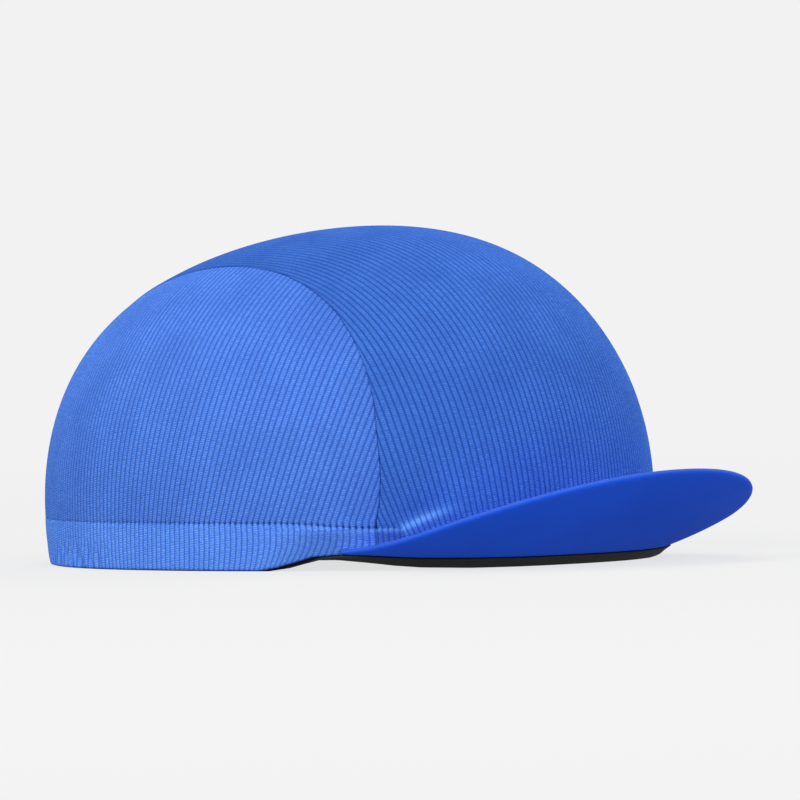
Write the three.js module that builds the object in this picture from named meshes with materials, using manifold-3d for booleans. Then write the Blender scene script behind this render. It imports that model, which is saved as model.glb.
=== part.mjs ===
// Cycling cap with its peak turned up, in millimetres, +Z up, the peak towards -Y.
// Angles round the head are measured in degrees from the forehead, the same on both sides.

import * as THREE from 'three';
import { mergeVertices } from 'three/addons/utils/BufferGeometryUtils.js';
import Module from 'manifold-3d';

// Head form, measured over the cloth
const headHalfLength = 99;
const headHalfWidth = 80;
const crownHeight = 99.2;
const fullestHeight = 18.2;
const squareness = 2.15;
const foreheadTaper = 0.03;
const topLengthening = 0.179;
const topWidening = 0.03;
const topShift = 13;
const topShiftPower = 5;
const foreheadFlare = 2.5;
const napeTuck = 3.5;

// Cloth
const gap = 0.3;
const knitThickness = 1.5;
const bandThickness = 1.2;
const bandRows = [7, 12, fullestHeight, 25];
const bandReach = -1.9;
const peakThickness = 1.8;

// Seam between the centre panel and a side panel: its distance from the middle
const seamHalfWidth = 41.4;
const seamSpread = 0.115;
const seamCurve = 0.00046;

// Peak
const peakEndAngle = 51.5;
const peakEndShare = 0.97;
const peakDepth = 47.7;
const peakRootReach = 0.7;
const peakRootBulge = 4.3;
const peakRootPower = 6;
const peakOutline = { inner: 2.05, outer: 1.86 };
const peakSlope = { middle: 24.9, end: 11.8, curl: 4.5 };

// How finely the cloth is divided
const roundSteps = 72;
const wallSteps = 3;
const domeSteps = 14;
const hemSteps = 3;
const peakColumns = 40;
const peakRows = 7;

// Blocks that part the crown into its panels
const blockReach = 130;
const blockSteps = 20;

// Small amounts: the turn either side of a point that gives the outline's direction there,
// the distance under which two corners are one, and the play of an angle in a table.
const directionStep = 0.01;
const mergeDistance = 1e-4;
const anglePlay = 1e-6;

// Round the rim, by the angle from the forehead: how far the edge is lifted off the surface
// it rests on, how tall the black strip is there, and how far that strip stands out.
const rimTable = [
  { angle: 0, lift: 0, strip: 2.7, reach: 4.6 },
  { angle: 15, lift: 0, strip: 2.7, reach: 4.6 },
  { angle: 25, lift: 0.1, strip: 2.8, reach: 4.5 },
  { angle: 35, lift: 0.6, strip: 2.7, reach: 4.0 },
  { angle: 40, lift: 1.25, strip: 2.5, reach: 3.5 },
  { angle: 45, lift: 2.2, strip: 2.0, reach: 2.9 },
  { angle: 50, lift: 3.0, strip: 1.5, reach: 1.8 },
  { angle: 54, lift: 3.3, strip: 1.0, reach: 0.5 },
  { angle: 58, lift: 1.9, strip: 0.4, reach: -0.4 },
  { angle: 61, lift: 0.8, strip: 0.4, reach: -0.4 },
  { angle: 65, lift: 0, strip: 0.4, reach: -0.4 },
  { angle: 180, lift: 0, strip: 0.4, reach: -0.4 },
];

// The stitched hem, from its front end to the nape: the height of its top edge and how far
// it stands proud of the panels above it.
const hemTable = [
  { angle: 35, top: 6, proud: 0.3 },
  { angle: 40, top: 11, proud: 0.4 },
  { angle: 45, top: 11.6, proud: 0.4 },
  { angle: 60, top: 11.2, proud: 0.5 },
  { angle: 65, top: 13.8, proud: 0.8 },
  { angle: 180, top: 13.8, proud: 0.8 },
];
const hemFrontAngle = hemTable[0].angle;

// Head form

function signedPower(value, power) {
  return Math.sign(value) * Math.abs(value) ** power;
}

// A point on the cloth: turn runs round the head in radians, 0 at the forehead, and level
// from -1 at the rim plane through 0 at the fullest section to 1 at the top.
function crownPoint(turn, level, inset = 0) {
  const climb = Math.max(level, 0) * Math.PI / 2;
  const rise = Math.sin(climb);
  const spread = Math.cos(climb);
  const drop = Math.max(-level, 0);
  const forward = signedPower(Math.cos(turn), 2 / squareness);
  const sideways = signedPower(Math.sin(turn), 2 / squareness);
  const length = (headHalfLength - inset) * (1 + topLengthening * rise ** 2);
  const width = (headHalfWidth - inset) * (1 + topWidening * rise ** 2);
  const flare = foreheadFlare * Math.max(Math.cos(turn), 0) + napeTuck * Math.max(-Math.cos(turn), 0);
  const front = topShift * rise ** topShiftPower + spread * length * forward + flare * drop ** 2;
  const side = spread * width * sideways * (1 - foreheadTaper * forward * spread);
  const height = fullestHeight * (1 - drop) + (crownHeight - inset - fullestHeight) * rise;
  return new THREE.Vector3(side, -front, height);
}

function levelAt(height) {
  if (height < fullestHeight) return height / fullestHeight - 1;
  return Math.asin((height - fullestHeight) / (crownHeight - fullestHeight)) / (Math.PI / 2);
}

// Level, outward direction square to the cloth's plan outline.
function outwardAt(turn, level) {
  const before = crownPoint(turn - directionStep, level);
  const along = crownPoint(turn + directionStep, level).sub(before);
  return new THREE.Vector3(along.y, -along.x, 0).normalize();
}

// A point at a height, standing out of the crown's outer face by reach.
function rimPoint(turn, reach, height) {
  const level = levelAt(height);
  const point = crownPoint(turn, level).addScaledVector(outwardAt(turn, level), reach);
  point.z = height;
  return point;
}

// Reads a column of a table at a turn, on a straight line between the rows.
function readTable(table, column, turn) {
  const angle = Math.abs(THREE.MathUtils.radToDeg(Math.atan2(Math.sin(turn), Math.cos(turn))));
  const next = table.findIndex((row) => row.angle >= angle - anglePlay);
  const upper = table[Math.max(next, 0)];
  const lower = table[Math.max(next - 1, 0)];
  const share = upper === lower ? 0 : (angle - lower.angle) / (upper.angle - lower.angle);
  return THREE.MathUtils.lerp(lower[column], upper[column], THREE.MathUtils.clamp(share, 0, 1));
}

const rimLift = (turn) => readTable(rimTable, 'lift', turn);
const stripTop = (turn) => rimLift(turn) + readTable(rimTable, 'strip', turn);
const hemTop = (turn) => readTable(hemTable, 'top', turn);
const hemFrontTurn = THREE.MathUtils.degToRad(hemFrontAngle);
const hasHem = (turn) => Math.cos(turn) < Math.cos(hemFrontTurn) + anglePlay;
const panelFoot = (turn) => gap + (hasHem(turn) ? hemTop(turn) : stripTop(turn));

// Closed meshes

function closedMesh(points, quads) {
  const triangles = [];
  for (const [a, b, c, d] of quads) triangles.push([a, b, c], [a, c, d]);
  const places = points.flatMap((point) => point.toArray());
  const geometry = new THREE.BufferGeometry();
  geometry.setAttribute('position', new THREE.Float32BufferAttribute(places, 3));
  geometry.setIndex(triangles.flat());
  const merged = mergeVertices(geometry, mergeDistance);
  const index = Array.from(merged.index.array);
  const kept = [];
  for (let i = 0; i < index.length; i += 3) {
    const corners = index.slice(i, i + 3);
    if (new Set(corners).size === 3) kept.push(...corners);
  }
  merged.setIndex(kept);
  return merged;
}

// A wall between an outer and an inner face, each a function of across and along, 0 to 1.
// A looped wall meets itself across, and a capped one closes to a point at along 1.
function clothWall(outer, inner, columns, rows, { looped = false, capped = false } = {}) {
  const points = [];
  const quads = [];
  const width = columns + 1;
  const layer = width * (rows + 1);
  for (const face of [outer, inner]) {
    for (let row = 0; row <= rows; row++) {
      for (let column = 0; column <= columns; column++) {
        const across = looped && column === columns ? 0 : column / columns;
        points.push(face(across, row / rows));
      }
    }
  }
  // Adds one face, from its corners in turn, each as its side, row and column.
  const addQuad = (...corners) => {
    quads.push(corners.map(([side, row, column]) => side * layer + row * width + column));
  };
  for (let row = 0; row < rows; row++) {
    const next = row + 1;
    for (let column = 0; column < columns; column++) {
      const right = column + 1;
      addQuad([0, row, column], [0, row, right], [0, next, right], [0, next, column]);
      addQuad([1, row, column], [1, next, column], [1, next, right], [1, row, right]);
    }
    if (!looped) {
      addQuad([1, row, 0], [0, row, 0], [0, next, 0], [1, next, 0]);
      addQuad([0, row, columns], [1, row, columns], [1, next, columns], [0, next, columns]);
    }
  }
  for (let column = 0; column < columns; column++) {
    const right = column + 1;
    addQuad([1, 0, column], [1, 0, right], [0, 0, right], [0, 0, column]);
    if (!capped) addQuad([0, rows, column], [0, rows, right], [1, rows, right], [1, rows, column]);
  }
  return closedMesh(points, quads);
}

// The crown and its panels

// The rows of a crown face: a few up the wall from its foot, then the dome to the top.
function crownFace(inset) {
  const wallShare = wallSteps / (wallSteps + domeSteps);
  return (across, along) => {
    const turn = across * 2 * Math.PI;
    const footLevel = levelAt(panelFoot(turn));
    if (along >= 1) return crownPoint(0, 1, inset).setX(0);
    if (along <= wallShare) return crownPoint(turn, footLevel * (1 - along / wallShare), inset);
    return crownPoint(turn, (along - wallShare) / (1 - wallShare), inset);
  };
}

function crownShell() {
  const outer = crownFace(0);
  const inner = crownFace(knitThickness);
  return clothWall(outer, inner, roundSteps, wallSteps + domeSteps, { looped: true, capped: true });
}

function seamDistance(front) {
  return seamHalfWidth + seamSpread * front + seamCurve * front ** 2;
}

// A tall block whose plan is one panel's, for cutting the crown: side is -1, 0 or 1.
function panelBlock(side) {
  const fronts = Array.from({ length: blockSteps + 1 }, (_, i) => blockReach * (2 * i / blockSteps - 1));
  const seamPoint = (sign, offset, front) => {
    return new THREE.Vector2(sign * (seamDistance(front) + offset), -front);
  };
  const seamLine = (sign, offset) => fronts.map((front) => seamPoint(sign, offset, front));
  const farCorner = (sign) => new THREE.Vector2(side * blockReach, sign * blockReach);
  const outline = side === 0
    ? [...seamLine(1, -gap / 2), ...seamLine(-1, -gap / 2).reverse()]
    : [...seamLine(side, gap / 2), farCorner(-1), farCorner(1)];
  const depth = 2 * crownHeight;
  const block = new THREE.ExtrudeGeometry(new THREE.Shape(outline), { depth, bevelEnabled: false });
  return block.translate(0, 0, (crownHeight - depth) / 2);
}

const wasm = await Module();
wasm.setup();

function toSolid(geometry) {
  const plain = geometry.clone();
  plain.deleteAttribute('normal');
  plain.deleteAttribute('uv');
  const merged = mergeVertices(plain, mergeDistance);
  return new wasm.Manifold(new wasm.Mesh({
    numProp: 3,
    vertProperties: Float32Array.from(merged.attributes.position.array),
    triVerts: Uint32Array.from(merged.index.array),
  }));
}

function toGeometry(solid) {
  const mesh = solid.getMesh();
  const geometry = new THREE.BufferGeometry();
  geometry.setAttribute('position', new THREE.BufferAttribute(Float32Array.from(mesh.vertProperties), 3));
  geometry.setIndex(Array.from(mesh.triVerts));
  return geometry;
}

function crownPanel(shell, side) {
  return toGeometry(toSolid(shell).intersect(toSolid(panelBlock(side))));
}

// The hem, from temple to temple round the back

function hemGeometry() {
  const columns = Math.round(roundSteps * (1 - hemFrontAngle / 180));
  const face = (reachAt) => (across, along) => {
    const turn = hemFrontTurn + across * 2 * (Math.PI - hemFrontTurn);
    const height = THREE.MathUtils.lerp(stripTop(turn) + gap, hemTop(turn), along);
    return rimPoint(turn, reachAt(turn), height);
  };
  const outer = face((turn) => readTable(hemTable, 'proud', turn));
  const inner = face(() => bandReach + gap);
  return clothWall(outer, inner, columns, hemSteps);
}

// The sweatband: a ring whose outer foot shows as the black strip

function sweatbandGeometry() {
  const inner = bandReach - bandThickness;
  const sectionAt = (turn) => {
    const lift = rimLift(turn);
    const reach = readTable(rimTable, 'reach', turn);
    const footReach = Math.min(reach, peakRootReach);
    const shelf = stripTop(turn);
    const outerSide = [shelf, ...bandRows].map((height) => [bandReach, height]);
    const innerSide = [...bandRows].reverse().map((height) => [inner, height]);
    return [[inner, lift], [footReach, lift], [reach, shelf], ...outerSide, ...innerSide]
      .map(([out, height]) => rimPoint(turn, out, height));
  };
  const points = [];
  const quads = [];
  const corners = sectionAt(0).length;
  for (let step = 0; step < roundSteps; step++) {
    points.push(...sectionAt(step * 2 * Math.PI / roundSteps));
    for (let corner = 0; corner < corners; corner++) {
      const here = step * corners;
      const there = ((step + 1) % roundSteps) * corners;
      const following = (corner + 1) % corners;
      quads.push([here + corner, there + corner, there + following, here + following]);
    }
  }
  return closedMesh(points, quads);
}

// The peak: a stiffened slab that leaves the rim level and bends up into a shallow cone

function peakFrame(across) {
  const share = (2 * across - 1) * peakEndShare;
  const turn = THREE.MathUtils.degToRad(peakEndAngle) * share;
  const depth = peakDepth * (1 - Math.abs(share) ** peakOutline.inner) ** peakOutline.outer;
  const rootReach = peakRootReach + peakRootBulge * (1 - Math.abs(share) ** peakRootPower);
  const slope = THREE.MathUtils.lerp(peakSlope.middle, peakSlope.end, share ** 2);
  return { turn, depth, rootReach, slope };
}

function peakFace(thickness) {
  return (across, along) => {
    const { turn, depth, rootReach, slope } = peakFrame(across);
    const rootRow = 1 / peakRows;
    const out = Math.max(along - rootRow, 0) / (1 - rootRow);
    const tilt = THREE.MathUtils.degToRad(slope + peakSlope.curl * out);
    const lean = along < rootRow ? 0 : along === rootRow ? tilt / 2 : tilt;
    const reach = along < rootRow ? peakRootReach : rootReach + depth * out * Math.cos(tilt);
    const rise = depth * out * Math.sin(tilt);
    const direction = outwardAt(turn, -1);
    const point = rimPoint(turn, 0, stripTop(turn) + gap);
    point.addScaledVector(direction, reach - thickness * Math.sin(lean));
    point.z += rise + thickness * Math.cos(lean);
    return point;
  };
}

function peakGeometry() {
  return clothWall(peakFace(0), peakFace(peakThickness), peakColumns, peakRows);
}

// Materials

const knitCloth = new THREE.MeshStandardMaterial({ color: 0x4a7dde, roughness: 0.85, metalness: 0 });
const peakCloth = new THREE.MeshStandardMaterial({ color: 0x1c41b4, roughness: 0.7, metalness: 0 });
const bandCloth = new THREE.MeshStandardMaterial({ color: 0x1c1c1d, roughness: 0.9, metalness: 0 });

function piece(name, geometry, material) {
  const mesh = new THREE.Mesh(geometry, material);
  mesh.name = name;
  return mesh;
}

const shell = crownShell();
const cap = new THREE.Group();
cap.add(
  piece('centre_panel', crownPanel(shell, 0), knitCloth),
  piece('side_panel_left', crownPanel(shell, 1), knitCloth),
  piece('side_panel_right', crownPanel(shell, -1), knitCloth),
  piece('hem_band', hemGeometry(), knitCloth),
  piece('peak', peakGeometry(), peakCloth),
  piece('sweatband', sweatbandGeometry(), bandCloth),
);

// The origin lies midway between the nape and the peak's edge.
const extent = new THREE.Box3().setFromObject(cap);
cap.position.y = -(extent.min.y + extent.max.y) / 2;

export default cap;
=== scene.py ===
# Cycling cap in rib-knit cloth with its peak turned up
import math

import bmesh
import bpy
import numpy as np
from mathutils import Matrix, Vector


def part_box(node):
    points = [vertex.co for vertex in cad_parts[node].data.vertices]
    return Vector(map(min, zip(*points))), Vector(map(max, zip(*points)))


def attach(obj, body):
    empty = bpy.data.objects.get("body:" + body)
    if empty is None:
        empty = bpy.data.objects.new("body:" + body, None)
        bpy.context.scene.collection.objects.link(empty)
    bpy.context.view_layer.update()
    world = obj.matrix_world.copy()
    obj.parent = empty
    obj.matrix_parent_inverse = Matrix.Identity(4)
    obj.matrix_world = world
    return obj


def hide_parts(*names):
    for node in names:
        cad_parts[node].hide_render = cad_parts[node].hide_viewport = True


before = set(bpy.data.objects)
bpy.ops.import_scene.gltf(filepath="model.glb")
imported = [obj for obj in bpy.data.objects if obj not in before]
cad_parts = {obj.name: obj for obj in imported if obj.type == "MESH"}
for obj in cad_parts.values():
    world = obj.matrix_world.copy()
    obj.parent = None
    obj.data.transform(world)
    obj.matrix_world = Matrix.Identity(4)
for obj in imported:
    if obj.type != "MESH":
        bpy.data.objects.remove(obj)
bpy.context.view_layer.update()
metresPerMm = 0.001
smallStep = 1e-6

# Head form, in millimetres: side is square to the middle plane, front runs towards the peak
head = {
    "halfLength": 99.0,
    "halfWidth": 80.0,
    "height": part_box("centre_panel")[1].z / metresPerMm,
    "fullest": 18.2,
    "squareness": 2.15,
    "foreheadTaper": 0.03,
    "topLengthening": 0.179,
    "topWidening": 0.03,
    "topShift": 13.0,
    "topShiftPower": 5,
    "foreheadFlare": 2.5,
    "napeTuck": 3.5,
    "slopeReach": 0.05,
    "rimClear": 0.2,
}
# How far behind the frame's middle the head form's middle lies
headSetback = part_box("centre_panel")[1].y / metresPerMm - head["halfLength"]


def signedPower(value, power):
    return np.sign(value) * np.abs(value) ** power


def smoothStep(value, low, high):
    share = np.clip((value - low) / (high - low), 0, 1)
    return share * share * (3 - 2 * share)


# A table from its columns' names and its rows
def tableOf(columns, *rows):
    return [dict(zip(columns.split(), row)) for row in rows]


# Beyond a table's end rows, their values hold
def readTable(table, column, places, key="angle"):
    return np.interp(places, [row[key] for row in table], [row[column] for row in table])


# Sizes of the head form's level section at a height
def sectionAt(height):
    rise = np.clip((height - head["fullest"]) / (head["height"] - head["fullest"]), 0, 1)
    drop = np.clip(1 - height / head["fullest"], 0, 1)
    spread = np.sqrt(1 - rise**2)
    length = head["halfLength"] * (1 + head["topLengthening"] * rise**2)
    width = head["halfWidth"] * (1 + head["topWidening"] * rise**2)
    shift = head["topShift"] * rise ** head["topShiftPower"]
    return spread, drop, length, width, shift


def flareAt(share, drop):
    towardsFront = signedPower(share, head["squareness"] / 2)
    flare = head["foreheadFlare"] * np.maximum(towardsFront, 0)
    return (flare + head["napeTuck"] * np.maximum(-towardsFront, 0)) * drop**2


def forwardShare(front, height):
    spread, drop, length, width, shift = sectionAt(height)
    share = (front - shift) / length
    for turn in range(3):
        share = (front - shift - flareAt(share, drop)) / length
    return share


# Above zero outside the head form and below zero inside it
def outsideBy(side, front, height):
    spread, drop, length, width, shift = sectionAt(height)
    share = forwardShare(front, height)
    across = side / (width * (1 - head["foreheadTaper"] * share))
    power = head["squareness"]
    return np.abs(share) ** power + np.abs(across) ** power - spread**power


def sideAt(front, height):
    spread, drop, length, width, shift = sectionAt(height)
    share = forwardShare(front, height)
    power = head["squareness"]
    across = np.maximum(spread**power - np.abs(share) ** power, 0) ** (1 / power)
    return width * (1 - head["foreheadTaper"] * share) * across


def frontAt(side, height, sign):
    spread, drop, length, width, shift = sectionAt(height)
    power = head["squareness"]
    share = sign * 0.5
    for turn in range(5):
        across = np.abs(side) / (width * (1 - head["foreheadTaper"] * share))
        share = sign * np.maximum(spread**power - across**power, 0) ** (1 / power)
    return shift + length * share + flareAt(share, drop)


# Angle round the head from the forehead, in degrees, the same on both sides
def angleAt(side, front, height):
    spread, drop, length, width, shift = sectionAt(height)
    share = forwardShare(front, height)
    across = np.abs(side) / (width * (1 - head["foreheadTaper"] * share))
    power = head["squareness"] / 2
    return np.degrees(np.arctan2(across**power, signedPower(share, power)))


def pointAt(turn, height):
    spread, drop, length, width, shift = sectionAt(height)
    forward = signedPower(np.cos(turn), 2 / head["squareness"])
    sideways = signedPower(np.sin(turn), 2 / head["squareness"])
    front = shift + spread * length * forward + flareAt(forward, drop)
    side = spread * width * sideways * (1 - head["foreheadTaper"] * forward * spread)
    return np.stack([side, front, height + 0 * side], -1)


def outwardAt(points):
    slopes = []
    for axis in range(3):
        offset = np.zeros(3)
        offset[axis] = head["slopeReach"]
        ahead = outsideBy(*np.moveaxis(points + offset, -1, 0))
        behind = outsideBy(*np.moveaxis(points - offset, -1, 0))
        slopes.append(ahead - behind)
    slopes = np.stack(slopes, -1)
    return slopes / np.maximum(np.linalg.norm(slopes, axis=-1, keepdims=True), smallStep**2)


def levelOutwardAt(points):
    outward = outwardAt(points) * np.array([1, 1, 0])
    return outward / np.linalg.norm(outward, axis=-1, keepdims=True)


# Outwards at the rim, read a little above the floor
def rimOutwardAt(points):
    return levelOutwardAt(points + np.array([0, 0, head["rimClear"]]))


# Round the rim: its lift off the floor, the black strip's height and how far it stands out
rimTable = tableOf(
    "angle lift strip reach",
    (15, 0.0, 2.7, 4.6),
    (25, 0.1, 2.8, 4.5),
    (35, 0.6, 2.7, 4.0),
    (40, 1.25, 2.5, 3.5),
    (45, 2.2, 2.0, 2.9),
    (50, 3.0, 1.4, 1.7),
    (54, 3.4, 0.6, 0.1),
    (58, 2.0, 0.2, -0.7),
    (61, 0.85, 0.15, -0.8),
    (65, 0.0, 0.15, -0.8),
)

# Round the hem: the stitch line where the panels end, the folded edge below it and how proud
# of the panels that stands, which is nothing from behind the temples to the nape. Under the
# fold, shade darkens the cloth and hollow sets it back.
hemTable = tableOf(
    "angle top fold proud shade hollow",
    (37.3, 12.3, 12.0, 1.4, 0.3, 1.2),
    (41, 12.3, 12.0, 1.3, 0.3, 1.1),
    (43.5, 12.3, 11.9, 1.1, 0.3, 0.9),
    (46, 12.3, 11.9, 1.1, 0.3, 0.6),
    (49, 12.5, 11.7, 1.0, 0.35, 0.4),
    (52, 12.8, 11.5, 0.85, 0.37, 0.2),
    (55, 13.3, 11.3, 0.7, 0.33, 0.1),
    (60, 13.7, 11.2, 0.4, 0.15, 0.0),
    (64, 13.8, 11.6, 0.2, 0.0, 0.0),
    (68, 13.8, 12.4, 0.0, 0.0, 0.0),
)


def rimLift(angles):
    return readTable(rimTable, "lift", angles)


def stripTop(angles):
    return rimLift(angles) + readTable(rimTable, "strip", angles)


def stitchHeight(angles):
    return readTable(hemTable, "top", angles)


# A panel ends at the stitch line, and in front of the hem behind the peak
def panelFoot(angles):
    underPeak = stripTop(angles) + knit["peakGap"]
    start = hemTable[0]["angle"]
    hemShare = smoothStep(angles, start + knit["tuckStart"], start + knit["tuckEnd"])
    return underPeak + (stitchHeight(angles) + knit["hemGap"] - underPeak) * hemShare


# The rib-knit cloth
knit = {
    "columnsPerRib": 6,
    "ribDepth": 0.34,
    "ribRoundness": 0.9,
    "wall": 1.35,
    "innerRib": 0.12,
    "edgeRadius": 0.7,
    "footRoll": 0.04,
    "hemGap": 0.03,
    "peakGap": 0.3,
    "tuckStart": 0.5,
    "tuckEnd": 5.0,
    "endRows": [0, 0.2, 0.5, 0.95, 1.6, 2.6],
    "stitchPit": 0.55,
    "stitchShade": 0.8,
    "stitchReach": 0.45,
    "grooveFull": 0.05,
    "grooveEnd": 0.3,
}


# Height of the ribs' ridges: nothing in a groove, 1 on top of a rib
def ribShape(ribs):
    return np.abs(np.sin(np.pi * ribs)) ** knit["ribRoundness"]


def grooveMask(ribs):
    nearest = np.abs(ribs - np.rint(ribs))
    return 1 - smoothStep(nearest, knit["grooveFull"], knit["grooveEnd"])


# A cloth's edge rolls under by a depth within the edge's radius
def edgeRoll(distance, depth):
    share = 1 - np.clip(distance / knit["edgeRadius"], 0, 1)
    return depth * (1 - np.sqrt(np.maximum(1 - share**2, 0)))


# A row of stitches: one in each groove at nothing from the stitch line
def stitches(ribs, distance):
    return grooveMask(ribs) * np.exp(-((distance / knit["stitchReach"]) ** 2))


def stitchPit(ribs, distance):
    return knit["stitchPit"] * stitches(ribs, distance)


# A panel's inner face, with shallower ribs
def innerFace(base, outward, ribs):
    return base - outward * (knit["wall"] - knit["innerRib"] * ribShape(ribs))[..., None]


# Shares along each column for its rows, closer together at both ends, and where asked also
# over the first stretch
def rowShares(lengths, rows, fineRows=1, fineReach=4.0):
    ends = np.array(knit["endRows"])
    short = np.minimum(lengths / (4 * ends[-1]), 1)
    near = ends[None, :] * (short / lengths)[:, None]
    far = 1 - near[:, ::-1]
    reach = np.minimum(fineReach / lengths, 0.5)[:, None]
    fine = near[:, -1:] + (reach - near[:, -1:]) * np.arange(1, fineRows + 1) / fineRows
    middle = rows + 1 - 2 * len(ends) - fineRows
    steps = np.arange(1, middle + 1) / (middle + 1)
    between = fine[:, -1:] + (far[:, :1] - fine[:, -1:]) * steps[None, :]
    return np.concatenate([near, fine, between, far], axis=1)


def alongRows(points):
    steps = np.linalg.norm(np.diff(points, axis=1), axis=-1)
    return np.concatenate([np.zeros((len(points), 1)), np.cumsum(steps, axis=1)], axis=1)


def toFrame(points):
    x, y, z = points[..., 0], headSetback - points[..., 1], points[..., 2]
    return np.stack([x, y, z], -1) * metresPerMm


def signedVolume(mesh):
    probe = bmesh.new()
    probe.from_mesh(mesh)
    volume = probe.calc_volume(signed=True)
    probe.free()
    return volume


# The column, row and height of each vertex of a flat grid
def gridPlaces(mesh, columns, rows):
    flat = np.empty(len(mesh.vertices) * 3, np.float32)
    mesh.vertices.foreach_get("co", flat)
    flat = flat.reshape(-1, 3)
    column = np.rint((flat[:, 0] + 0.5) * columns).astype(int)
    row = np.rint((flat[:, 1] + 0.5) * rows).astype(int)
    return column, row, flat[:, 2]


# Moves a mesh's vertices to their points, with their places on the cloth as its UV map
def shapeMesh(mesh, points, across, along):
    mesh.vertices.foreach_set("co", toFrame(points).astype(np.float32).ravel())
    corners = np.empty(len(mesh.loops), np.int32)
    mesh.loops.foreach_get("vertex_index", corners)
    places = np.stack([across, along], -1)[corners]
    while mesh.uv_layers:
        mesh.uv_layers.remove(mesh.uv_layers[0])
    mesh.uv_layers.new(name="ribs").data.foreach_set("uv", places.astype(np.float32).ravel())


def addPiece(name, mesh):
    if signedVolume(mesh) < 0:
        mesh.flip_normals()
    mesh.shade_smooth()
    piece = bpy.data.objects.new(name, mesh)
    bpy.context.scene.collection.objects.link(piece)
    return piece


# A flat slab of cloth is made first, and then laid on the head form: faces holds the outer
# and inner face's points by column and row, across and along are its UV map, and the last
# argument is an attribute of painted shade and painted highlight for its material
def layCloth(name, faces, across, along, paintedShading):
    columns, rows = faces[0].shape[0] - 1, faces[0].shape[1] - 1
    slab = bmesh.new()
    bmesh.ops.create_grid(slab, x_segments=columns, y_segments=rows, size=0.5)
    bmesh.ops.solidify(slab, geom=slab.faces[:], thickness=1.0)
    mesh = bpy.data.meshes.new(name)
    slab.to_mesh(mesh)
    slab.free()
    column, row, level = gridPlaces(mesh, columns, rows)
    isOuter = level > (level.max() + level.min()) / 2
    points = np.where(isOuter[:, None], faces[0][column, row], faces[1][column, row])
    shapeMesh(mesh, points, across[column, row], along[column, row])
    # painted shade and painted highlight at each vertex
    marked = paintedShading[column, row].astype(np.float32)
    mesh.attributes.new("paintedShading", "FLOAT", "POINT").data.foreach_set("value", marked)
    mesh.update()
    piece = addPiece(name, mesh)
    ends = np.empty(len(mesh.edges) * 2, np.int32)
    mesh.edges.foreach_get("vertices", ends)
    first, second = ends.reshape(-1, 2).T
    isBorder = (column % columns == 0) | (row % rows == 0)
    isSharp = isBorder[first] & isBorder[second] & (isOuter[first] == isOuter[second])
    mesh.edges.foreach_set("use_edge_sharp", isSharp)
    return piece


def wear(piece, node, material):
    piece.data.materials.append(material)
    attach(piece, "root")
    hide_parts(node)
    print("made", piece.name, "with", len(piece.data.polygons), "faces")


# Adds nodes to a tree and links them. A number or a colour is set on the socket itself.
class NodeBench:
    def __init__(self, tree):
        self.tree = tree

    def add(self, kind, **settings):
        node = self.tree.nodes.new(kind)
        for key, value in settings.items():
            setattr(node, key, value)
        return node

    def link(self, source, target):
        if isinstance(source, (int, float, tuple)):
            target.default_value = source
        else:
            self.tree.links.new(source, target)

    def feed(self, node, sources):
        for label, source in sources.items():
            self.link(source, node.inputs[label])
        return node

    def math(self, operation, *values):
        node = self.add("ShaderNodeMath", operation=operation)
        for value, socket in zip(values, node.inputs):
            self.link(value, socket)
        return node.outputs[0]

    def ramp(self, value, low, high, start=0.0, end=1.0):
        node = self.add("ShaderNodeMapRange", interpolation_type="SMOOTHSTEP")
        ends = {"From Min": low, "From Max": high, "To Min": start, "To Max": end}
        return self.feed(node, {"Value": value, **ends}).outputs[0]

    # Most of a noise lies between the margin and 1 less the margin
    def spread(self, noise, start=0.0, end=1.0, margin=0.3):
        return self.ramp(noise, margin, 1 - margin, start, end)

    def mix(self, factor, first, second):
        node = self.add("ShaderNodeMix", data_type="RGBA")
        for source, index in ((factor, 0), (first, 6), (second, 7)):
            self.link(source, node.inputs[index])
        return node.outputs[2]

    def split(self, vector):
        node = self.add("ShaderNodeSeparateXYZ")
        self.link(vector, node.inputs[0])
        return node.outputs

    def group(self, tree, sources):
        return self.feed(self.add("ShaderNodeGroup", node_tree=tree), sources).outputs

    def ribMap(self):
        return self.add("ShaderNodeUVMap", uv_map="ribs").outputs[0]

    def objectPlace(self):
        return self.add("ShaderNodeTexCoord").outputs["Object"]

    # The attribute of painted shade and painted highlight
    def paintedShading(self):
        return self.add("ShaderNodeAttribute", attribute_name="paintedShading").outputs["Fac"]


# Shader groups: each takes a place and named numbers, and puts out masks or heights
def newGroup(name, numbers, outputs):
    group = bpy.data.node_groups.new(name, "ShaderNodeTree")
    group.interface.new_socket(name="Place", in_out="INPUT", socket_type="NodeSocketVector")
    kind = "NodeSocketFloat"
    for label, value in numbers.items():
        socket = group.interface.new_socket(name=label, in_out="INPUT", socket_type=kind)
        socket.default_value = value
    for label in outputs:
        group.interface.new_socket(name=label, in_out="OUTPUT", socket_type=kind)
    bench = NodeBench(group)
    return bench, bench.add("NodeGroupInput"), bench.add("NodeGroupOutput")


# Knitted loops: each slants away from its rib's middle, starts a little further on than in the
# rib before, and has a cleft along the middle, lower in the bump and painted darker as shade
loopShape = {
    "length": 0.68,
    "slant": 0.5,
    "stagger": 0.37,
    "cleftWidth": 0.1,
    # lowers the cleft in the bump and paints it darker as shade
    "cleftDipAndShade": 0.75,
    "grooveWidth": 0.26,
}


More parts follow.
